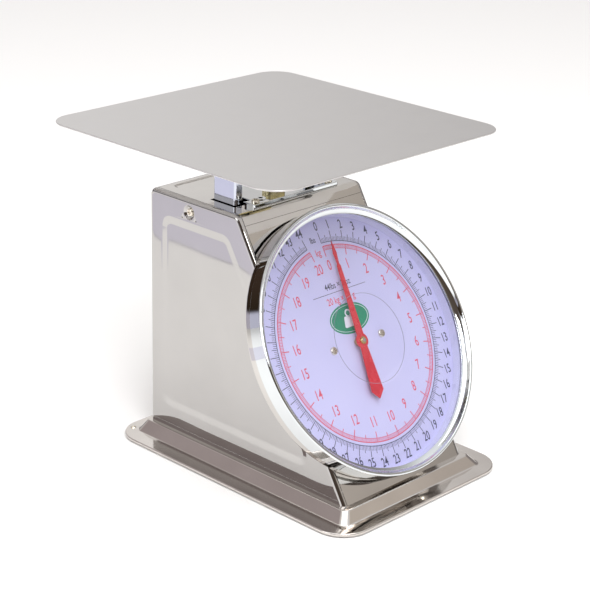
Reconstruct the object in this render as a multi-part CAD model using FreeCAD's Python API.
import FreeCAD, Part
import math
import os

# Spring dial platform scale, 20 kg by 50 g: stainless housing, tilted round dial, flat square pan.
# Millimetres.  +X is to the right seen from the dial side, the dial faces -Y, +Z is up.
# The origin is on the floor, below the middle of the object's outline.

V = FreeCAD.Vector
os.makedirs("parts", exist_ok=True)

# ---- driving dimensions -------------------------------------------------------------
PAN_SIDE = 254.0
PAN_T = 1.2
PAN_CORNER_R = 22.0
PAN_TOP_Z = 264.6
PAN_Y = 22.25

BODY_W = 136.5
BODY_REAR_Y = 93.6
BODY_TOP_FRONT_Y = -5.9
BODY_TOP_Z = 211.4
BODY_BOTTOM_Z = 11.7
DIAL_TILT = 30.64          # the front panel and dial lean back from upright by this angle
SHEET = 1.0                # housing sheet
BODY_CORNER_R = 6.0        # rounding of the side outline at the top corners
CHEEK_R = 3.5              # rounded rim of each side panel
CHEEK_DEPTH = 4.0          # how far the side panel's rim wraps round onto front, top and rear
SEAM = 0.2

BASE_X = 94.85
BASE_FRONT_Y = -149.25
BASE_REAR_Y = 111.1
BASE_CORNER_R = 25.0
BASE_SHEET = 1.2
FLANGE_TOP_Z = 3.4
FLANGE_LIP_Z = 1.0

DIAL_UP_SLOPE = 112.0      # dial centre above the front panel's bottom edge, along the panel
DRUM_R = 106.3
WINDOW_R = 100.1
BEZEL_R = 107.5
BEZEL_H = 20.6
FACE_H = 4.1
LENS_H = 18.5
LENS_RING_R = 35.5

TRAVEL = 24.5              # pan travel from empty to 20 kg
POINTER_REST_DEG = 3.9     # the unloaded hand stands this far past zero
MODULE = 0.5
PINION_TEETH = 14
PINION_PITCH_R = MODULE * PINION_TEETH / 2.0

POST_X = 53.5              # outer face of each post
POST_Y0 = 12.0
POST_Y1 = 36.0
POST_T = 2.0
POST_FLANGE = 7.5
POST_BOTTOM_Z = 94.0
POST_TOP_Z = 258.0

SPRING_X = 20.0
SPRING_Y = 24.0
COIL_R = 7.0
SPRING_WIRE = 2.2
COIL_TURNS = 21

TAN = math.tan(math.radians(DIAL_TILT))
COS = math.cos(math.radians(DIAL_TILT))
SIN = math.sin(math.radians(DIAL_TILT))
BODY_FRONT_Y = BODY_TOP_FRONT_Y - (BODY_TOP_Z - BODY_BOTTOM_Z) * TAN


# ---- helpers ------------------------------------------------------------------------
def save(name, *solids):
    """One node: one solid, or a group of separate solids."""
    shape = solids[0] if len(solids) == 1 else Part.Compound(list(solids))
    shape.exportStep("parts/" + name + ".step")


def box(x0, x1, y0, y1, z0, z1):
    return Part.makeBox(x1 - x0, y1 - y0, z1 - z0, V(x0, y0, z0))


def rod(r, start, end):
    line = end - start
    return Part.makeCylinder(r, line.Length, start, line)


def ring(r_in, r_out, start, end):
    return rod(r_out, start, end).cut(rod(r_in, start, end))


def joined(shapes):
    body = shapes[0]
    for shape in shapes[1:]:
        body = body.fuse(shape)
    return body.removeSplitter()


def less(shape, tools):
    for tool in tools:
        shape = shape.cut(tool)
    return shape


def round_corners(points, radii, place):
    """A closed wire through 2D points with each corner rounded; place turns (a, b) into a vector."""
    edges = []
    ends = []
    count = len(points)
    for i in range(count):
        p = FreeCAD.Vector(points[i][0], points[i][1], 0)
        before = FreeCAD.Vector(points[i - 1][0], points[i - 1][1], 0) - p
        after = FreeCAD.Vector(points[(i + 1) % count][0], points[(i + 1) % count][1], 0) - p
        before.normalize()
        after.normalize()
        r = radii[i]
        if r == 0:
            ends.append((p, p))
            continue
        half = before.getAngle(after) / 2.0
        reach = r / math.tan(half)
        middle = before + after
        middle.normalize()
        centre = p + middle * (r / math.sin(half))
        start = p + before * reach
        end = p + after * reach
        ends.append((start, end))
        crown = centre - middle * r
        arc = Part.Arc(place(start.x, start.y), place(crown.x, crown.y), place(end.x, end.y))
        edges.append(arc.toShape())
    for i in range(count):
        a = ends[i][1]
        b = ends[(i + 1) % count][0]
        if (b - a).Length > 1e-6:
            edges.append(Part.makeLine(place(a.x, a.y), place(b.x, b.y)))
    return Part.Wire(Part.__sortEdges__(edges))


def plan_outline(x0, x1, y0, y1, r, z):
    """Rounded rectangle lying flat at height z."""
    return round_corners([(x0, y0), (x1, y0), (x1, y1), (x0, y1)], [r] * 4, lambda a, b: V(a, b, z))


def flat_plate(x0, x1, y0, y1, r, z0, z1):
    return Part.Face(plan_outline(x0, x1, y0, y1, r, z0)).extrude(V(0, 0, z1 - z0))


def revolved(points, axis_point, axis):
    """A closed profile of (radius, height) points turned about an axis along Z."""
    wire = Part.makePolygon([V(r, 0, h) for r, h in points + points[:1]])
    turned = Part.Face(wire).revolve(V(0, 0, 0), V(0, 0, 1), 360)
    turned.Placement = FreeCAD.Placement(axis_point, FreeCAD.Rotation(V(0, 0, 1), axis))
    return turned


def front_y(z):
    """Where the front panel's outer face is at height z."""
    return BODY_TOP_FRONT_Y - (BODY_TOP_Z - z) * TAN


# ---- dial frame: x to the right, u up the slope, h out from the front panel -----------
DIAL_CENTRE = V(0, BODY_FRONT_Y + DIAL_UP_SLOPE * SIN, BODY_BOTTOM_Z + DIAL_UP_SLOPE * COS)
DIAL_PLACE = FreeCAD.Placement(DIAL_CENTRE, FreeCAD.Rotation(V(1, 0, 0), 90.0 - DIAL_TILT))


def dial(x, u, h):
    return DIAL_PLACE.multVec(V(x, u, h))


def on_dial(shape):
    """Moves a shape built in the dial frame to its place."""
    shape.Placement = DIAL_PLACE.multiply(shape.Placement)
    return shape


# ---- base tray ------------------------------------------------------------------------
def tray_solid(inset, lip_z, flange_z, deck_z):
    flange = flat_plate(-BASE_X + inset, BASE_X - inset, BASE_FRONT_Y + inset, BASE_REAR_Y - inset,
                        BASE_CORNER_R - inset, lip_z, flange_z)
    foot = plan_outline(-80.0 + inset, 80.0 - inset, -136.0 + inset, 100.0 - inset, 7.0, flange_z - 0.01)
    deck = plan_outline(-72.3 + inset, 72.3 - inset, -129.5 + inset, 95.5 - inset, 5.0, deck_z)
    return joined([flange, Part.makeLoft([foot, deck], True, True)])


FOOT_SPOTS = [(-79.5, 103.0), (79.5, 103.0), (0.0, -143.5)]
FOOT_R = 4.2
PIP_R = 1.7
LUG_SPOTS = [(sx * 52.0, y) for sx in (-1, 1) for y in (-88.0, 76.0)]

base = tray_solid(0.0, FLANGE_LIP_Z, FLANGE_TOP_Z, BODY_BOTTOM_Z)
crest_edges = [e for e in base.Edges
               if e.BoundBox.ZMin > FLANGE_TOP_Z - 0.02 and e.BoundBox.ZLength < 0.02
               and (e.BoundBox.ZMin > BODY_BOTTOM_Z - 0.1
                    or max(abs(v.X) for v in e.Vertexes) > BASE_X - BASE_CORNER_R - 0.1
                    or min(v.Y for v in e.Vertexes) < BASE_FRONT_Y + 0.1)]
base = base.makeFillet(0.9, crest_edges)
base = base.cut(
    tray_solid(BASE_SHEET, FLANGE_LIP_Z - 1.0, FLANGE_TOP_Z - BASE_SHEET, BODY_BOTTOM_Z - BASE_SHEET))
base = less(base, [rod(PIP_R, V(x, y, 0), V(x, y, 6)) for x, y in FOOT_SPOTS])
base = less(base, [rod(2.2, V(x, y, 5), V(x, y, 15)) for x, y in LUG_SPOTS])
save("base_tray", base)


def rubber_foot(x, y):
    pad = Part.makeCone(FOOT_R - 0.8, FOOT_R, FLANGE_TOP_Z - BASE_SHEET, V(x, y, 0))
    return pad.cut(rod(PIP_R, V(x, y, 1.0), V(x, y, 6)))


def foot_rivet(x, y):
    shank = rod(PIP_R, V(x, y, 1.0), V(x, y, FLANGE_TOP_Z))
    head = Part.makeSphere(2.6, V(x, y, FLANGE_TOP_Z - 1.2)).common(
        box(x - 3, x + 3, y - 3, y + 3, FLANGE_TOP_Z, FLANGE_TOP_Z + 2))
    return joined([shank, head])


save("rubber_feet", *[rubber_foot(x, y) for x, y in FOOT_SPOTS])
save("foot_rivets", *[foot_rivet(x, y) for x, y in FOOT_SPOTS])


# ---- housing panels -------------------------------------------------------------------
def side_outline(inset, bottom):
    """Outline of the housing seen from the side, moved inwards by inset."""
    step = inset / COS
    points = [(BODY_REAR_Y - inset, bottom),
              (BODY_REAR_Y - inset, BODY_TOP_Z - inset),
              (front_y(BODY_TOP_Z - inset) + step, BODY_TOP_Z - inset),
              (front_y(bottom) + step, bottom)]
    return points, [0, BODY_CORNER_R - inset, BODY_CORNER_R - inset, 0]


def housing_solid(inset, bottom):
    points, radii = side_outline(inset, bottom)
    half = BODY_W / 2.0 - inset
    face = Part.Face(round_corners(points, radii, lambda a, b: V(-half, a, b)))
    solid = face.extrude(V(2 * half, 0, 0))
    rims = [e for e in solid.Edges
            if e.BoundBox.XLength < 0.01 and e.BoundBox.ZMax > bottom + 0.1]
    return solid.makeFillet(CHEEK_R - inset, rims)


shell = housing_solid(0.0, BODY_BOTTOM_Z).cut(housing_solid(SHEET, BODY_BOTTOM_Z - 5.0))
CHEEK_X = BODY_W / 2.0 - CHEEK_DEPTH
FAR = 400.0

FIELD_REAR_Y = 80.0
FIELD_TOP_Z = 193.3
FIELD_BOTTOM_Z = 29.3
FIELD_FRONT_GAP = 20.5
FIELD_SLOPE = 7.2
FIELD_DEPTH = 1.2
SEAL_Y = 47.8
SEAL_Z = 201.0
SEAL_R = 6.2
SEAL_DEPTH = 2.0


def field_outline(inset, x):
    rear = FIELD_REAR_Y - inset
    top = FIELD_TOP_Z - inset
    bottom = FIELD_BOTTOM_Z + inset * 0.82
    gap = FIELD_FRONT_GAP + inset / COS
    points = [(rear, bottom), (rear, top), (front_y(top) + gap, top), (front_y(bottom) + gap, bottom)]
    r = 9.0 - inset * 0.6
    return round_corners(points, [r] * 4, lambda a, b: V(x, a, b))


def pressed_field(x_face, side):
    """The shallow pressing of a side panel: sloped border and flat floor, towards the inside."""
    rims = [field_outline(0.0, x_face), field_outline(FIELD_SLOPE, x_face - side * FIELD_DEPTH)]
    return Part.makeLoft(rims, True, True)


def seal_dimple(x_face, side, deepen):
    return Part.makeCone(SEAL_R + deepen * 0.4, 4.2 + deepen * 0.4, SEAL_DEPTH, V(x_face, SEAL_Y, SEAL_Z),
                         V(-side, 0, 0))


def side_panel(side):
    x_face = side * BODY_W / 2.0
    keep = box(min(side * CHEEK_X, side * FAR), max(side * CHEEK_X, side * FAR), -FAR, FAR, -FAR, FAR)
    panel = shell.common(keep)
    x_in = x_face - side * SHEET
    panel = panel.fuse(pressed_field(x_in, side)).fuse(seal_dimple(x_in, side, SHEET))
    panel = less(panel, [pressed_field(x_face, side), seal_dimple(x_face, side, 0.0)])
    screw_hole = rod(1.9, V(x_face - side * 8, SEAL_Y, SEAL_Z), V(x_face + side, SEAL_Y, SEAL_Z))
    wire_holes = [rod(0.8, V(x_face - side * 2, SEAL_Y + dy, SEAL_Z - 5.5),
                      V(x_face + side, SEAL_Y + dy, SEAL_Z - 5.5))
                  for dy in (-7.9, 7.9)]
    return less(panel, [screw_hole] + wire_holes).removeSplitter()


save("side_panel_left", side_panel(-1))
save("side_panel_right", side_panel(1))

wrap = shell.common(box(-CHEEK_X + SEAM, CHEEK_X - SEAM, -FAR, FAR, -FAR, FAR))
REAR_SEAM_Z = 199.0
FRONT_SEAM_Z = 203.5
rear_zone = box(-FAR, FAR, BODY_REAR_Y - 3.0, FAR, -FAR, REAR_SEAM_Z)
front_zone = box(-FAR, FAR, -FAR, 12.0, -FAR, FRONT_SEAM_Z)
front_panel = wrap.common(front_zone)
top_panel = wrap.cut(box(-FAR, FAR, BODY_REAR_Y - 3.0, FAR, -FAR, REAR_SEAM_Z + SEAM))
top_panel = top_panel.cut(box(-FAR, FAR, -FAR, 12.0, -FAR, FRONT_SEAM_Z + SEAM))
rear_cover = wrap.common(rear_zone)

PILLAR_SPOTS = [(sx * 24.0, su * 24.0) for sx in (-1, 1) for su in (-1, 1)]
DIAL_SCREW_X = 27.0
PILLAR_HOLE_R = 1.9
front_panel = less(front_panel, [rod(14.0, dial(0, 0, -5), dial(0, 0, 5))])
front_panel = less(front_panel,
                   [rod(PILLAR_HOLE_R, dial(x, u, -5), dial(x, u, 5)) for x, u in PILLAR_SPOTS])
front_panel = less(front_panel, [rod(4.6, dial(sx * DIAL_SCREW_X, 0, -5), dial(sx * DIAL_SCREW_X, 0, 5))
                                 for sx in (-1, 1)])
save("front_panel", front_panel)

SLOT_X0 = 41.5
SLOT_X1 = 55.2
SLOT_Y0 = 10.3
SLOT_Y1 = 37.7
PLATE_SCREWS = [(-40.0, 3.2), (40.0, 3.2)]
RECESS = (-54.0, 54.0, 57.0, 84.0)


def slot_cutters(z0, z1):
    return [box(min(sx * SLOT_X0, sx * SLOT_X1), max(sx * SLOT_X0, sx * SLOT_X1), SLOT_Y0, SLOT_Y1, z0, z1)
            for sx in (-1, 1)]


def recess_solid(top_z, depth, grow):
    x0, x1, y0, y1 = RECESS
    upper = plan_outline(x0 - grow, x1 + grow, y0 - grow, y1 + grow, 6.0, top_z)
    lower = plan_outline(x0 + 2 - grow, x1 - 2 + grow, y0 + 2 - grow, y1 - 2 + grow, 5.0, top_z - depth)
    return Part.makeLoft([upper, lower], True, True)


top_panel = top_panel.fuse(recess_solid(BODY_TOP_Z - SHEET, 0.9, 0.3))
top_panel = top_panel.cut(recess_solid(BODY_TOP_Z, 0.9, 0.0))
top_panel = less(top_panel, slot_cutters(200, 220))
top_panel = less(top_panel, [rod(3.2, V(0, SPRING_Y, 200), V(0, SPRING_Y, 220))])
top_panel = less(top_panel, [rod(2.1, V(x, y, 205), V(x, y, 220)) for x, y in PLATE_SCREWS])
save("top_panel", top_panel.removeSplitter())

REAR_SCREWS = [(sx * 54.0, z) for sx in (-1, 1) for z in (26.0, 186.0)]
rear_cover = less(rear_cover, [rod(1.9, V(x, 80, z), V(x, 99, z)) for x, z in REAR_SCREWS])
save("rear_cover", rear_cover)


def pan_head_screw(seat, out, head_r, head_h, shank_r, shank_l):
    """Round-head cross-slot screw.  seat is the point under the head, out points away from the work."""
    way = V(out)
    way.normalize()
    head = Part.makeCylinder(head_r, head_h, seat, way)
    head = head.makeFillet(head_h * 0.55, [e for e in head.Edges
                                           if e.Curve.TypeId == "Part::GeomCircle"
                                           and (e.Curve.Center - (seat + way * head_h)).Length < 0.01])
    shank = Part.makeCylinder(shank_r, shank_l, seat, way * -1.0)
    turn = FreeCAD.Rotation(V(0, 0, 1), way)
    for spin in (0, 90):
        groove = Part.makeBox(head_r * 1.2, head_r * 0.26, head_h, V(-head_r * 0.6, -head_r * 0.13, 0))
        groove.Placement = FreeCAD.Placement(seat + way * (head_h * 0.45), turn.multiply(
            FreeCAD.Rotation(V(0, 0, 1), spin)))
        head = head.cut(groove)
    return head.fuse(shank).removeSplitter()


rear_screws = [pan_head_screw(V(x, BODY_REAR_Y, z), V(0, 1, 0), 3.2, 1.7, 1.8, 6.0) for x, z in REAR_SCREWS]
side_screws = [pan_head_screw(V(side * (BODY_W / 2.0 - SEAL_DEPTH), SEAL_Y, SEAL_Z), V(side, 0, 0),
                              3.2, 1.7, 1.8, 6.0) for side in (-1, 1)]
save("housing_screws", *(rear_screws + side_screws))


def rear_lug(x, z):
    """Folded tab of the side panel's inside that takes a rear cover screw."""
    sx = 1 if x > 0 else -1
    face = box(x - 6, x + 6, BODY_REAR_Y - SHEET - 3.0, BODY_REAR_Y - SHEET - 1.0, z - 7, z + 7)
    reach = BODY_W / 2.0 - SHEET - 0.1
    lo, hi = sorted((sx * (abs(x) + 6), sx * reach))
    foot = box(lo, hi, BODY_REAR_Y - SHEET - 3.0, BODY_REAR_Y - SHEET - 1.0, z - 7, z + 7)
    wall_lo, wall_hi = sorted((sx * (reach - 1.5), sx * reach))
    wall = box(wall_lo, wall_hi, BODY_REAR_Y - SHEET - 10.0, BODY_REAR_Y - SHEET - 1.0, z - 7, z + 7)
    lug = joined([face, foot, wall])
    fold = [e for e in lug.Edges if e.BoundBox.ZLength > 10.0
            and abs(abs(e.Vertexes[0].X) - reach) < 0.01 and e.Vertexes[0].Y > BODY_REAR_Y - SHEET - 1.01]
    return lug.makeFillet(2.8, fold).cut(rod(1.8, V(x, 80, z), V(x, 99, z)))



def base_lug(x, y):
    """Angle bracket between the tray's deck and a side panel."""
    sx = 1 if x > 0 else -1
    reach = BODY_W / 2.0 - SHEET - 0.1
    lo, hi = sorted((sx * (abs(x) - 7), sx * reach))
    sole = box(lo, hi, y - 8, y + 8, BODY_BOTTOM_Z, BODY_BOTTOM_Z + 2.0)
    wall_lo, wall_hi = sorted((sx * (reach - 1.5), sx * reach))
    wall = box(wall_lo, wall_hi, y - 8, y + 8, BODY_BOTTOM_Z, BODY_BOTTOM_Z + 14.0)
    return joined([sole, wall]).cut(rod(2.0, V(x, y, 5), V(x, y, 20)))


save("panel_lugs", *([rear_lug(x, z) for x, z in REAR_SCREWS] + [base_lug(x, y) for x, y in LUG_SPOTS]))
save("base_screws", *[pan_head_screw(V(x, y, BODY_BOTTOM_Z - BASE_SHEET), V(0, 0, -1), 3.6, 2.0, 2.0, 6.0)
                      for x, y in LUG_SPOTS])


# ---- dial case ------------------------------------------------------------------------
def drum():
    back = 0.15
    wall = revolved([(14.0, back), (DRUM_R - 2.0, back), (DRUM_R, back + 2.0), (DRUM_R, 11.0),
                     (DRUM_R - SHEET, 11.0), (DRUM_R - SHEET, back + 2.4), (DRUM_R - 2.4, back + SHEET),
                     (14.0, back + SHEET)], V(0, 0, 0), V(0, 0, 1))
    shelf = revolved([(102.4, 9.8), (DRUM_R - SHEET, 9.8), (DRUM_R - SHEET, 11.0), (102.4, 11.0)],
                     V(0, 0, 0), V(0, 0, 1))
    body = on_dial(joined([wall, shelf]))
    body = less(body, [rod(PILLAR_HOLE_R, dial(x, u, -5), dial(x, u, 5)) for x, u in PILLAR_SPOTS])
    return less(body, [rod(4.6, dial(side * DIAL_SCREW_X, 0, -5), dial(side * DIAL_SCREW_X, 0, 5))
                       for side in (-1, 1)])


save("dial_drum", drum())

dial_plate = on_dial(Part.makeCylinder(102.0, 1.0, V(0, 0, FACE_H - 1.0)))
dial_plate = less(dial_plate, [rod(2.0, dial(sx * DIAL_SCREW_X, 0, 0), dial(sx * DIAL_SCREW_X, 0, 9))
                               for sx in (-1, 1)])
dial_plate = less(dial_plate, [rod(3.0, dial(0, 0, 0), dial(0, 0, 9))])
save("dial_plate", dial_plate)

RING_IN = 100.9
save("dial_spacer_ring", on_dial(revolved(
    [(RING_IN, FACE_H), (102.2, FACE_H), (102.2, 12.2), (RING_IN, 12.2)], V(0, 0, 0), V(0, 0, 1))))
save("lens_gasket", on_dial(revolved(
    [(102.5, 11.0), (DRUM_R - SHEET, 11.0), (DRUM_R - SHEET, 12.2), (102.5, 12.2)], V(0, 0, 0), V(0, 0, 1))))


def lens():
    """Clear moulded window: raised flat centre, gentle dome, flat rim held under the bezel."""
    t = 1.5
    slope = [(60.0, 17.6), (82.0, 16.2), (WINDOW_R - 1.5, 14.2), (105.6, 13.7)]
    top = [(0, LENS_H), (LENS_RING_R, LENS_H), (LENS_RING_R + 0.5, LENS_H - 0.3)] + slope
    under = [(r, h - t) for r, h in reversed(slope)] + [(0, LENS_H - t - 0.3)]
    return on_dial(revolved(top + under, V(0, 0, 0), V(0, 0, 1)))


save("lens", lens())

save("bezel", on_dial(revolved(
    [(DRUM_R + 0.05, 8.0), (BEZEL_R, 8.0), (BEZEL_R, 19.4), (BEZEL_R - 0.5, 20.3), (BEZEL_R - 1.3, BEZEL_H),
     (BEZEL_R - 2.2, 20.2), (105.0, 18.6), (103.2, 16.7), (101.2, 15.4), (WINDOW_R, 15.1),
     (WINDOW_R, 14.3), (101.6, 14.25), (104.2, 15.6), (105.9, 17.6), (DRUM_R + 0.05, 18.6)],
    V(0, 0, 0), V(0, 0, 1))))

save("drum_screws", *[pan_head_screw(dial(x, u, 1.15), dial(0, 0, 1) - dial(0, 0, 0), 3.4, 1.7, 1.8, 9.0)
                      for x, u in PILLAR_SPOTS])
save("dial_screws", *[pan_head_screw(dial(sx * DIAL_SCREW_X, 0, FACE_H), dial(0, 0, 1) - dial(0, 0, 0),
                                     3.2, 1.7, 1.8, 8.0) for sx in (-1, 1)])

# ---- movement: plates, pinion, rack -----------------------------------------------------
FRONT_PLATE_H = -28.0
PLATE_T = 2.0
REAR_PLATE_H = -44.0
PINION_H0 = -41.0
PINION_H1 = -34.0
SHAFT_R = 1.5
BUSH_BORE_R = 1.55
BUSH_R = 3.2


def pillar(x, u, top_h, r, hole_r, hole_depth):
    solid = rod(r, dial(x, u, FRONT_PLATE_H), dial(x, u, top_h))
    return solid.cut(rod(hole_r, dial(x, u, top_h - hole_depth), dial(x, u, top_h + 1)))


panel_pillars = [pillar(x, u, -SHEET - 0.05, 3.5, 1.8, 9.0) for x, u in PILLAR_SPOTS]
dial_pillars = [pillar(sx * DIAL_SCREW_X, 0, FACE_H - 1.0, 3.2, 1.8, 9.0) for sx in (-1, 1)]
save("movement_pillars", *(panel_pillars + dial_pillars))


def movement_plate(top_h, slotted):
    plate = box(-32, 32, -32, 32, top_h - PLATE_T, top_h)
    plate = plate.cut(Part.makeCylinder(BUSH_R, 10, V(0, 0, top_h - 6)))
    if slotted:
        plate = plate.cut(box(4.7, 9.0, -3.0, 40, top_h - 6, top_h + 4))
    return on_dial(plate)


save("movement_front_plate", movement_plate(FRONT_PLATE_H, False))
save("movement_rear_plate", movement_plate(REAR_PLATE_H, True))
SPACER_SPOTS = [(sx * 26.0, su * 26.0) for sx in (-1, 1) for su in (-1, 1)]
save("plate_spacers", *[rod(3.0, dial(x, u, REAR_PLATE_H), dial(x, u, FRONT_PLATE_H - PLATE_T))
                        for x, u in SPACER_SPOTS])


def bush(plate_h, flange_h):
    sleeve = ring(BUSH_BORE_R, BUSH_R, dial(0, 0, plate_h - PLATE_T), dial(0, 0, plate_h))
    lo, hi = sorted((plate_h if flange_h > plate_h else plate_h - PLATE_T, flange_h))
    flange = ring(BUSH_BORE_R, 4.4, dial(0, 0, lo), dial(0, 0, hi))
    return joined([sleeve, flange])


save("shaft_bushes", bush(FRONT_PLATE_H, FRONT_PLATE_H + 1.0),
     bush(REAR_PLATE_H, REAR_PLATE_H - PLATE_T - 1.0),
     ring(BUSH_BORE_R, 2.95, dial(0, 0, FACE_H - 1.0), dial(0, 0, FACE_H + 2.2)))

ADDENDUM = 0.8 * MODULE
DEDENDUM = 1.1 * MODULE
BACKLASH = 0.12
PRESSURE = math.radians(20.0)
SHAFT_END_H = 12.2


def involute(angle):
    return math.tan(angle) - angle


def pinion_gear():
    """Involute pinion with a tooth space centred on +x, where the rack's middle tooth sits at rest."""
    base_r = PINION_PITCH_R * math.cos(PRESSURE)
    tip_r = PINION_PITCH_R + ADDENDUM
    root_r = PINION_PITCH_R - DEDENDUM
    half = math.pi / (2 * PINION_TEETH) - BACKLASH / (2 * PINION_PITCH_R)
    profile = []
    for tooth in range(PINION_TEETH):
        middle = 2 * math.pi * (tooth + 0.5) / PINION_TEETH
        flank = []
        for step in range(5):
            r = base_r + (tip_r - base_r) * step / 4.0
            roll = math.acos(base_r / r)
            flank.append((r, half + involute(PRESSURE) - involute(roll)))
        profile.append((root_r, middle - flank[0][1]))
        profile += [(r, middle - a) for r, a in flank]
        profile += [(r, middle + a) for r, a in reversed(flank)]
        profile.append((root_r, middle + flank[0][1]))
    points = [V(r * math.cos(a), r * math.sin(a), PINION_H0) for r, a in profile]
    face = Part.Face(Part.makePolygon(points + points[:1]))
    return on_dial(face.extrude(V(0, 0, PINION_H1 - PINION_H0)).cut(
        Part.makeCylinder(SHAFT_R, 20, V(0, 0, PINION_H0 - 5))))


save("pinion", pinion_gear())
save("pointer_shaft", rod(SHAFT_R, dial(0, 0, REAR_PLATE_H - PLATE_T - 2.0), dial(0, 0, SHAFT_END_H)))

POINTER_H = 9.0
POINTER_T = 0.8
HUB_R = 6.0


def pointer_hand():
    """Thin red hand: fine tip, narrow neck, round hub and a pointed tail paddle."""
    outline = [(0.0, 81.0), (1.9, 71.0), (1.0, 62.6), (1.9, 60.4), (3.4, 8.0), (3.7, -6.0),
               (6.3, -40.2), (0.0, -46.6)]
    left = [(-x, y) for x, y in reversed(outline[1:-1])]
    points = [V(x, y, POINTER_H) for x, y in outline + left]
    hand = Part.Face(Part.makePolygon(points + points[:1])).extrude(V(0, 0, POINTER_T))
    hand = hand.fuse(Part.makeCylinder(HUB_R, POINTER_T, V(0, 0, POINTER_H)))
    hand = hand.cut(Part.makeCylinder(2.2, 5, V(0, 0, POINTER_H - 2))).removeSplitter()
    hand.rotate(V(0, 0, 0), V(0, 0, 1), -POINTER_REST_DEG)
    return on_dial(hand)


save("pointer_hand", pointer_hand())
save("pointer_boss", joined([ring(SHAFT_R, 3.4, dial(0, 0, 6.9), dial(0, 0, POINTER_H)),
                             ring(SHAFT_R, 2.2, dial(0, 0, POINTER_H), dial(0, 0, POINTER_H + POINTER_T)),
                             ring(SHAFT_R, 2.9, dial(0, 0, POINTER_H + POINTER_T), dial(0, 0, 11.2))]))

RACK_X1 = 11.0
RACK_H0 = -41.0
RACK_H1 = -34.0
RACK_U0 = -6.0
RACK_U1 = 34.0
TOOTH_PITCH = math.pi * MODULE
HEAD_U = 30.0
HEAD_HALF = 4.5
HEAD_X0 = 5.2
HEAD_X1 = 8.4
PIN_R = 1.5
PIN_H = -50.5
PIN_REACH = TRAVEL * SIN


def rack_bar():
    """Toothed bar sliding up and down the slope; its head has a cross slot for the drive pin."""
    root_x = PINION_PITCH_R + DEDENDUM
    slant = math.tan(PRESSURE)
    points = [(RACK_X1, RACK_U0), (root_x, RACK_U0)]
    for tooth in range(-3, 17):
        middle = tooth * TOOTH_PITCH
        for side in (-1, 1):
            wide = TOOTH_PITCH / 4 - BACKLASH / 2 + DEDENDUM * slant
            narrow = TOOTH_PITCH / 4 - BACKLASH / 2 - ADDENDUM * slant
            pair = [(root_x, middle + side * wide), (PINION_PITCH_R - ADDENDUM, middle + side * narrow)]
            points += pair if side < 0 else pair[::-1]
    points += [(root_x, RACK_U1), (RACK_X1, RACK_U1)]
    corners = [V(x, u, RACK_H0) for x, u in points]
    bar = Part.Face(Part.makePolygon(corners + corners[:1])).extrude(V(0, 0, RACK_H1 - RACK_H0))
    head = box(HEAD_X0, HEAD_X1, HEAD_U - HEAD_HALF, HEAD_U + HEAD_HALF,
               PIN_H - PIN_REACH - 5.0, RACK_H0 + 1.0)
    slot_r = PIN_R + 0.06
    slot = box(0, 20, HEAD_U - slot_r, HEAD_U + slot_r, PIN_H - PIN_REACH - 0.3, PIN_H + 0.3)
    for h in (PIN_H - PIN_REACH - 0.3, PIN_H + 0.3):
        slot = slot.fuse(Part.makeCylinder(slot_r, 20, V(0, HEAD_U, h), V(1, 0, 0)))
    return on_dial(bar.fuse(head).cut(slot).removeSplitter())


save("rack", rack_bar())

GUIDE_GAP = 0.06
guide = box(6.2, 16.0, -16.0, 16.0, REAR_PLATE_H, FRONT_PLATE_H - PLATE_T)
guide = guide.cut(box(0, RACK_X1 + GUIDE_GAP, -30, 30, RACK_H0 - GUIDE_GAP, RACK_H1 + GUIDE_GAP))
guide = guide.cut(box(0, HEAD_X1 + 0.5, -30, 30, REAR_PLATE_H - 1, RACK_H0))
save("rack_guide", on_dial(guide))

# ---- load cradle ------------------------------------------------------------------------
CROSSBAR_Z = 98.0
CROSSBAR_T = 3.0


def post(side):
    """Channel-section post: web outside, front and rear flanges turned in."""
    web = box(*sorted((side * POST_X, side * (POST_X - POST_T))), POST_Y0, POST_Y1,
              POST_BOTTOM_Z, POST_TOP_Z)
    flanges = [box(*sorted((side * POST_X, side * (POST_X - POST_FLANGE))), y0, y0 + POST_T,
                   POST_BOTTOM_Z, POST_TOP_Z) for y0 in (POST_Y0, POST_Y1 - POST_T)]
    channel = joined([web] + flanges)
    folds = [e for e in channel.Edges
             if e.BoundBox.ZLength > 100 and abs(abs(e.Vertexes[0].X) - POST_X) < 0.01]
    channel = channel.makeFillet(1.6, folds)
    holes = [rod(1.6, V(side * 60, y, z), V(side * 40, y, z))
             for y in (SPRING_Y - 6, SPRING_Y + 6) for z in (CROSSBAR_Z + 8, POST_TOP_Z - 7)]
    return less(channel, holes)


save("posts", post(-1), post(1))

INNER_X = POST_X - POST_T
LINK_PIN_R = 2.0
LINK_LOW_Z = 46.0
LINK_HIGH_Z = 86.0


def crossbar():
    """Bar between the posts with turned-up ends, a hanging leg for the check links and a drive arm."""
    bar = box(-INNER_X, INNER_X, 15.0, 33.0, CROSSBAR_Z, CROSSBAR_Z + CROSSBAR_T)
    ends = [box(*sorted((side * INNER_X, side * (INNER_X - 2.0))), 15.0, 33.0, CROSSBAR_Z, CROSSBAR_Z + 13)
            for side in (-1, 1)]
    solid = joined([bar] + ends)
    solid = less(solid, [rod(1.6, V(-80, y, CROSSBAR_Z + 8), V(80, y, CROSSBAR_Z + 8))
                         for y in (SPRING_Y - 6, SPRING_Y + 6)])
    solid = less(solid, [rod(2.0, V(side * SPRING_X, SPRING_Y, 90), V(side * SPRING_X, SPRING_Y, 110))
                         for side in (-1, 1)])
    return solid.cut(rod(2.0, V(38.0, SPRING_Y, 90), V(38.0, SPRING_Y, 110)))


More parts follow.
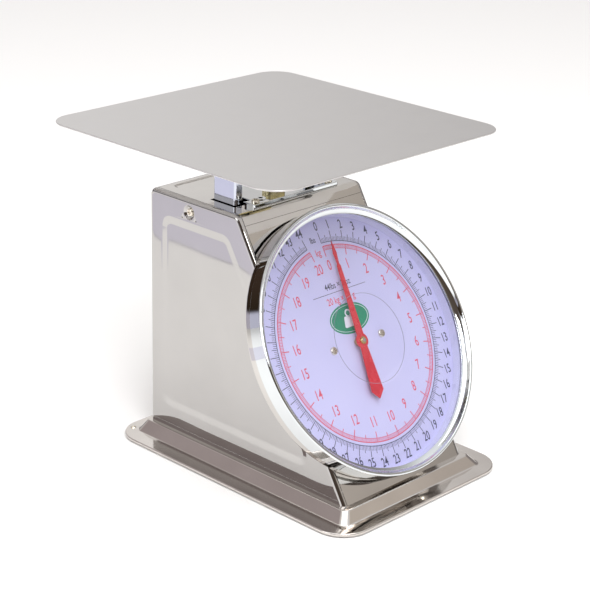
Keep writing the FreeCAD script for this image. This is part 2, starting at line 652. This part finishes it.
save("cradle_crossbar", crossbar())
save("post_screws", *[pan_head_screw(V(side * POST_X, y, z), V(side, 0, 0), 2.6, 1.1, 1.55, 4.2)
                      for side in (-1, 1) for y in (SPRING_Y - 6, SPRING_Y + 6)
                      for z in (CROSSBAR_Z + 8, POST_TOP_Z - 7)])


def link_leg():
    """Leg hanging from the crossbar; two cross pins carry the check links' free ends."""
    plates = [box(*sorted((side * 12.0, side * 14.0)), 17.0, 31.0, LINK_LOW_Z - 6.0, CROSSBAR_Z)
              for side in (-1, 1)]
    web = box(-12.0, 12.0, 29.0, 31.0, LINK_LOW_Z - 6.0, CROSSBAR_Z)
    leg = joined(plates + [web])
    return less(leg, [rod(LINK_PIN_R, V(-20, 22.0, z), V(20, 22.0, z)) for z in (LINK_LOW_Z, LINK_HIGH_Z)])


save("link_leg", link_leg())
save("link_front_pins",
     *[rod(LINK_PIN_R, V(-24, 22.0, z), V(24, 22.0, z)) for z in (LINK_LOW_Z, LINK_HIGH_Z)])

LINK_L = 56.0
LINK_REAR_Y = 22.0 + LINK_L
LINK_SWING = math.degrees(math.atan(TRAVEL / 2.0 / LINK_L))
LINK_STRETCH = LINK_L * (1.0 / math.cos(math.radians(LINK_SWING)) - 1.0)


def check_link(front_z):
    """Fork with an arm each side of the leg, pivoted at the rear; its front holes are short slots.

    It is drawn level and then swung up, so that it passes level at half travel."""
    rear_z = front_z - TRAVEL / 2.0
    arms = []
    for side in (-1, 1):
        arms.append(box(*sorted((side * 16.0, side * 18.0)), 14.5, LINK_REAR_Y + 5.0,
                        rear_z - 4.0, rear_z + 4.0))
    web = box(-16.0, 16.0, LINK_REAR_Y - 18.0, LINK_REAR_Y - 10.0, rear_z - 1.0, rear_z + 1.0)
    link = joined(arms + [web])
    link = link.cut(rod(LINK_PIN_R + 0.05, V(-30, LINK_REAR_Y, rear_z), V(30, LINK_REAR_Y, rear_z)))
    near = LINK_REAR_Y - LINK_L - LINK_STRETCH - 0.2
    far = LINK_REAR_Y - LINK_L + 0.2
    slot_r = LINK_PIN_R + 0.15
    slot = box(-30, 30, near, far, rear_z - slot_r, rear_z + slot_r)
    for y in (near, far):
        slot = slot.fuse(rod(slot_r, V(-30, y, rear_z), V(30, y, rear_z)))
    link = link.cut(slot)
    link.rotate(V(0, LINK_REAR_Y, rear_z), V(1, 0, 0), -LINK_SWING)
    return link


save("upper_link", check_link(LINK_HIGH_Z))
save("lower_link", check_link(LINK_LOW_Z))

REAR_PIN_ZS = [LINK_LOW_Z - TRAVEL / 2.0, LINK_HIGH_Z - TRAVEL / 2.0]


def link_stand():
    """Upright bracket on the deck behind the links, with two ears for the rear pins."""
    back_y = 89.0
    foot = box(-30.0, 30.0, 66.0, back_y, BODY_BOTTOM_Z, BODY_BOTTOM_Z + 2.0)
    wall = box(-30.0, 30.0, back_y - 2.0, back_y, BODY_BOTTOM_Z, REAR_PIN_ZS[1] + 10.0)
    ears = [box(*sorted((side * 20.0, side * 22.0)), 72.0, back_y, BODY_BOTTOM_Z, REAR_PIN_ZS[1] + 10.0)
            for side in (-1, 1)]
    stand = joined([foot, wall] + ears)
    return less(stand, [rod(LINK_PIN_R, V(-25, LINK_REAR_Y, z), V(25, LINK_REAR_Y, z))
                        for z in REAR_PIN_ZS])


save("link_stand", link_stand())
save("link_rear_pins",
     *[rod(LINK_PIN_R, V(-23.5, LINK_REAR_Y, z), V(23.5, LINK_REAR_Y, z)) for z in REAR_PIN_ZS])


def drive_arm():
    """Bracket from the crossbar forward to the rack's head; it carries the drive pin."""
    pin = dial(0, HEAD_U, PIN_H)
    edge_h = PIN_H + 3.7
    top = dial(0, HEAD_U + 5.0, edge_h)
    toe = dial(0, HEAD_U - 8.0, edge_h)
    seat_z = CROSSBAR_Z + CROSSBAR_T
    side_view = [(top.y, top.z), (toe.y, toe.z), (15.5, seat_z), (32.0, seat_z),
                 (32.0, seat_z + 6.0), (4.0, top.z)]
    corners = [V(11.0, y, z) for y, z in side_view]
    plate = Part.Face(Part.makePolygon(corners + corners[:1])).extrude(V(2.0, 0, 0))
    sole = box(11.0, 15.0, 16.0, 32.0, seat_z, seat_z + 2.0)
    return joined([plate, sole]).cut(rod(PIN_R, V(5, pin.y, pin.z), V(20, pin.y, pin.z)))


save("drive_arm", drive_arm())
pin_place = dial(0, HEAD_U, PIN_H)
save("drive_pin", rod(PIN_R, V(HEAD_X0 - 0.6, pin_place.y, pin_place.z), V(14.5, pin_place.y, pin_place.z)))

# ---- springs, hanger and zero adjuster -----------------------------------------------------
COIL_PITCH = SPRING_WIRE + 0.15
COIL_Z0 = 128.0
COIL_Z1 = COIL_Z0 + COIL_TURNS * COIL_PITCH
LOOP_R = 5.5
EYE_R = 4.0
EYE_WIRE_R = 1.5


def spring(x):
    """Close-wound extension spring as a ribbed sleeve with an end loop top and bottom."""
    wire_r = SPRING_WIRE / 2.0
    outer = COIL_R + wire_r - 0.35
    inner = COIL_R - wire_r + 0.2
    edges = []
    for turn in range(COIL_TURNS):
        z0 = COIL_Z0 + turn * COIL_PITCH
        arc = Part.Arc(V(outer, 0, z0), V(COIL_R + wire_r, 0, z0 + COIL_PITCH / 2),
                       V(outer, 0, z0 + COIL_PITCH))
        edges.append(arc.toShape())
    edges.append(Part.makeLine(V(outer, 0, COIL_Z1), V(inner, 0, COIL_Z1)))
    edges.append(Part.makeLine(V(inner, 0, COIL_Z1), V(inner, 0, COIL_Z0)))
    edges.append(Part.makeLine(V(inner, 0, COIL_Z0), V(outer, 0, COIL_Z0)))
    sleeve = Part.Face(Part.Wire(edges)).revolve(V(0, 0, 0), V(0, 0, 1), 360)
    pieces = [sleeve]
    for z_end, way in ((COIL_Z0, -1), (COIL_Z1, 1)):
        pieces.append(rod(wire_r, V(-COIL_R, 0, z_end + way * 0.3), V(COIL_R, 0, z_end + way * 0.3)))
        centre = V(0, 0, z_end + way * (0.3 + LOOP_R))
        pieces.append(Part.makeTorus(LOOP_R, wire_r, centre, V(0, 1, 0)))
    solid = joined(pieces)
    solid.translate(V(x, SPRING_Y, 0))
    return solid


save("springs", spring(-SPRING_X), spring(SPRING_X))
LOW_EYE_Z = COIL_Z0 - 0.3 - 2 * LOOP_R - (EYE_R - EYE_WIRE_R - SPRING_WIRE / 2.0) + 0.15
HIGH_EYE_Z = COIL_Z1 + 0.3 + 2 * LOOP_R + (EYE_R - EYE_WIRE_R - SPRING_WIRE / 2.0) - 0.15


def eye_bolt(x, eye_z, way, tail):
    """Eye in the YZ plane with a threaded tail pointing along way (+1 up, -1 down)."""
    eye = Part.makeTorus(EYE_R, EYE_WIRE_R, V(x, SPRING_Y, eye_z), V(1, 0, 0))
    stem = rod(2.0, V(x, SPRING_Y, eye_z + way * EYE_R), V(x, SPRING_Y, tail))
    return joined([eye, stem])


HANGER_Z = HIGH_EYE_Z + EYE_R + EYE_WIRE_R + 1.2
HANGER_T = 4.0
save("lower_spring_eyes", *[eye_bolt(x, LOW_EYE_Z, -1, CROSSBAR_Z - 4.0) for x in (-SPRING_X, SPRING_X)])
save("upper_spring_eyes",
     *[eye_bolt(x, HIGH_EYE_Z, 1, HANGER_Z + HANGER_T + 2.0) for x in (-SPRING_X, SPRING_X)])


def nut(x, y, z, r_hole, flats, h):
    corners = [V(x + flats / math.sqrt(3) * math.cos(math.radians(60 * k)),
                 y + flats / math.sqrt(3) * math.sin(math.radians(60 * k)), z) for k in range(6)]
    body = Part.Face(Part.makePolygon(corners + corners[:1])).extrude(V(0, 0, h))
    return body.cut(rod(r_hole, V(x, y, z - 1), V(x, y, z + h + 1)))


hanger = flat_plate(-31.0, 31.0, SPRING_Y - 6.0, SPRING_Y + 6.0, 2.0, HANGER_Z, HANGER_Z + HANGER_T)
hanger = less(hanger, [rod(2.0, V(x, SPRING_Y, 150), V(x, SPRING_Y, 220)) for x in (-SPRING_X, SPRING_X)])
hanger = hanger.cut(rod(2.5, V(0, SPRING_Y, 150), V(0, SPRING_Y, 220)))
save("spring_hanger", hanger)

STRAP_Z = 214.6
STRAP_T = 1.2
KNOB_Z0 = STRAP_Z + 0.6
KNOB_Z1 = KNOB_Z0 + 9.0


def zero_screw():
    """Spindle of the zero adjuster, turning in the hanger's thread, with a collar on the strap."""
    return joined([rod(2.4, V(0, SPRING_Y, HANGER_Z - 6.0), V(0, SPRING_Y, KNOB_Z1 - 2.0)),
                   rod(4.5, V(0, SPRING_Y, STRAP_Z), V(0, SPRING_Y, KNOB_Z0))])


def zero_knob():
    """Knurled knob: a round body with grip flutes round its edge."""
    body = Part.makeCylinder(9.0, KNOB_Z1 - KNOB_Z0, V(0, SPRING_Y, KNOB_Z0))
    body = body.makeChamfer(0.8, [e for e in body.Edges if e.BoundBox.ZLength < 0.01])
    for k in range(20):
        a = math.radians(18 * k)
        body = body.cut(rod(0.8, V(9.3 * math.cos(a), SPRING_Y + 9.3 * math.sin(a), KNOB_Z0 - 1),
                            V(9.3 * math.cos(a), SPRING_Y + 9.3 * math.sin(a), KNOB_Z1 + 1)))
    return body.cut(rod(2.4, V(0, SPRING_Y, KNOB_Z0 - 1), V(0, SPRING_Y, KNOB_Z1 - 2.0)))


save("zero_screw", zero_screw())
save("zero_knob", zero_knob())


def strap_outline(grow, z):
    """T shape: wide in front of the two post slots, narrow between them."""
    points = [(-46.5 + grow, -2.0 + grow), (46.5 - grow, -2.0 + grow), (46.5 - grow, 9.2 - grow),
              (40.0 - grow, 9.2 - grow), (40.0 - grow, 48.0 - grow), (-40.0 + grow, 48.0 - grow),
              (-40.0 + grow, 9.2 - grow), (-46.5 + grow, 9.2 - grow)]
    return round_corners(points, [1.5, 1.5, 1.0, 0, 1.5, 1.5, 0, 1.0] if grow == 0 else [0.0] * 8,
                         lambda a, b: V(a, b, z))


strap = Part.Face(strap_outline(0, BODY_TOP_Z)).extrude(V(0, 0, STRAP_Z - BODY_TOP_Z))
strap = strap.makeFillet(0.7, [e for e in strap.Edges if e.BoundBox.ZMin > STRAP_Z - 0.01])
hollow = Part.Face(strap_outline(STRAP_T, BODY_TOP_Z - 1))
strap = strap.cut(hollow.extrude(V(0, 0, STRAP_Z - STRAP_T - BODY_TOP_Z + 1)))
strap = less(strap, [rod(2.1, V(x, y, 205), V(x, y, 220)) for x, y in PLATE_SCREWS])
EYELETS = [(-31.5, 6.5), (31.5, 6.5)]
strap = less(strap, [rod(3.0, V(x, y, 213), V(x, y, 220)) for x, y in EYELETS])
strap = strap.cut(rod(3.2, V(0, SPRING_Y, 205), V(0, SPRING_Y, 220)))
save("top_strap", strap)
save("strap_eyelets", *[joined([ring(1.7, 2.95, V(x, y, STRAP_Z - STRAP_T), V(x, y, STRAP_Z)),
                                ring(1.7, 4.2, V(x, y, STRAP_Z), V(x, y, STRAP_Z + 0.7))])
                        for x, y in EYELETS])
save("strap_screws",
     *[pan_head_screw(V(x, y, STRAP_Z), V(0, 0, 1), 3.3, 2.0, 2.0, 8.5) for x, y in PLATE_SCREWS])

BRACKET_Z = BODY_TOP_Z - SHEET
BRACKET_T = 1.8


def top_bracket():
    """Bracket under the top panel: it guides the spring hanger and takes strap and side screws."""
    z0 = BRACKET_Z - BRACKET_T
    middle = box(-39.0, 39.0, -1.5, 55.0, z0, BRACKET_Z)
    front = box(-45.5, 45.5, -1.5, 8.8, z0, BRACKET_Z)
    wing = box(-64.0, 64.0, 40.5, 55.0, z0, BRACKET_Z)
    ears = [box(*sorted((side * 64.0, side * 62.2)), 40.5, 55.0, 194.5, BRACKET_Z) for side in (-1, 1)]
    guides = [box(*sorted((side * 31.2, side * 33.0)), SPRING_Y - 8, SPRING_Y + 8, HANGER_Z - 5.0, z0)
              for side in (-1, 1)]
    solid = joined([middle, front, wing] + ears + guides)
    solid = less(solid, [rod(2.0, V(x, y, 205), V(x, y, 220)) for x, y in PLATE_SCREWS])
    solid = less(solid, [rod(4.0, V(x, SPRING_Y, 205), V(x, SPRING_Y, 220))
                         for x in (-SPRING_X, 0, SPRING_X)])
    return solid.cut(rod(1.8, V(-80, SEAL_Y, SEAL_Z), V(80, SEAL_Y, SEAL_Z)))


save("top_bracket", top_bracket())

# ---- oil damper ---------------------------------------------------------------------------
DAMPER_X = 38.0
CUP_R = 12.0
CUP_Z0 = BODY_BOTTOM_Z
CUP_Z1 = 70.0
PISTON_Z = 46.0
cup = rod(CUP_R, V(DAMPER_X, SPRING_Y, CUP_Z0), V(DAMPER_X, SPRING_Y, CUP_Z1))
cup = cup.cut(rod(CUP_R - 1.2, V(DAMPER_X, SPRING_Y, CUP_Z0 + 1.5), V(DAMPER_X, SPRING_Y, CUP_Z1 + 1)))
save("damper_cup", cup)
save("damper_cap",
     ring(3.0, CUP_R - 1.2, V(DAMPER_X, SPRING_Y, CUP_Z1 - 3.0), V(DAMPER_X, SPRING_Y, CUP_Z1)))
save("damper_piston",
     ring(2.0, CUP_R - 1.8, V(DAMPER_X, SPRING_Y, PISTON_Z), V(DAMPER_X, SPRING_Y, PISTON_Z + 4.0)))
save("damper_rod",
     rod(2.0, V(DAMPER_X, SPRING_Y, PISTON_Z), V(DAMPER_X, SPRING_Y, CROSSBAR_Z + CROSSBAR_T + 3.5)))
save("cradle_nuts", *([nut(x, SPRING_Y, CROSSBAR_Z - 3.0, 2.0, 7.0, 3.0) for x in (-SPRING_X, SPRING_X)]
                      + [nut(DAMPER_X, SPRING_Y, CROSSBAR_Z + CROSSBAR_T, 2.0, 7.0, 3.0)]))

# ---- pan carrier and pan --------------------------------------------------------------------
SPIDER_T = 2.0
SPIDER_Z1 = PAN_TOP_Z - PAN_T - 4.0
ARM_W = 22.0
ARM_REACH = 46.0
PAN_PAD_R = 6.0


def spider():
    """Cross-shaped carrier: a bar between the post tops and a second bar front to rear."""
    z0 = SPIDER_Z1 - SPIDER_T
    across = box(-INNER_X, INNER_X, SPRING_Y - ARM_W / 2 + 1.2, SPRING_Y + ARM_W / 2 - 1.2, z0, SPIDER_Z1)
    along = box(-ARM_W / 2, ARM_W / 2, PAN_Y - ARM_REACH, PAN_Y + ARM_REACH, z0, SPIDER_Z1)
    tabs = [box(*sorted((side * INNER_X, side * (INNER_X - 2.0))), SPRING_Y - ARM_W / 2 + 1.2,
                SPRING_Y + ARM_W / 2 - 1.2, SPIDER_Z1 - 13.0, SPIDER_Z1) for side in (-1, 1)]
    lips = [box(-ARM_W / 2, ARM_W / 2, *sorted((PAN_Y + way * ARM_REACH, PAN_Y + way * (ARM_REACH - 2.0))),
                SPIDER_Z1 - 8.0, SPIDER_Z1) for way in (-1, 1)]
    solid = joined([across, along] + tabs + lips)
    return less(solid, [rod(1.6, V(-80, y, POST_TOP_Z - 7), V(80, y, POST_TOP_Z - 7))
                        for y in (SPRING_Y - 6, SPRING_Y + 6)])


save("pan_spider", spider())
PAD_SPOTS = [(-36.0, SPRING_Y), (36.0, SPRING_Y), (0.0, PAN_Y - 36.0), (0.0, PAN_Y + 36.0)]
save("pan_pads", *[rod(PAN_PAD_R, V(x, y, SPIDER_Z1), V(x, y, SPIDER_Z1 + 2.0)) for x, y in PAD_SPOTS])

SADDLE_Z0 = SPIDER_Z1 + 2.0
SADDLE_Z1 = PAN_TOP_Z - PAN_T
SADDLE_X = 58.0
SADDLE_REACH = 49.0


def saddle():
    """Shallow tray welded under the pan; its turned-down lips drop over the carrier and locate the pan."""
    outer = flat_plate(-SADDLE_X, SADDLE_X, PAN_Y - SADDLE_REACH, PAN_Y + SADDLE_REACH, 4.0,
                       SADDLE_Z0 - 6.0, SADDLE_Z1)
    inner = flat_plate(-SADDLE_X + 1.5, SADDLE_X - 1.5,
                       PAN_Y - SADDLE_REACH + 1.5, PAN_Y + SADDLE_REACH - 1.5, 2.6,
                       SADDLE_Z0 - 7.0, SADDLE_Z0)
    return outer.cut(inner)


save("pan_saddle", saddle())

pan = flat_plate(-PAN_SIDE / 2, PAN_SIDE / 2, PAN_Y - PAN_SIDE / 2, PAN_Y + PAN_SIDE / 2, PAN_CORNER_R,
                 PAN_TOP_Z - PAN_T, PAN_TOP_Z)
pan = pan.makeFillet(0.35, [e for e in pan.Edges if e.BoundBox.ZLength < 0.01])
save("weighing_pan", pan)
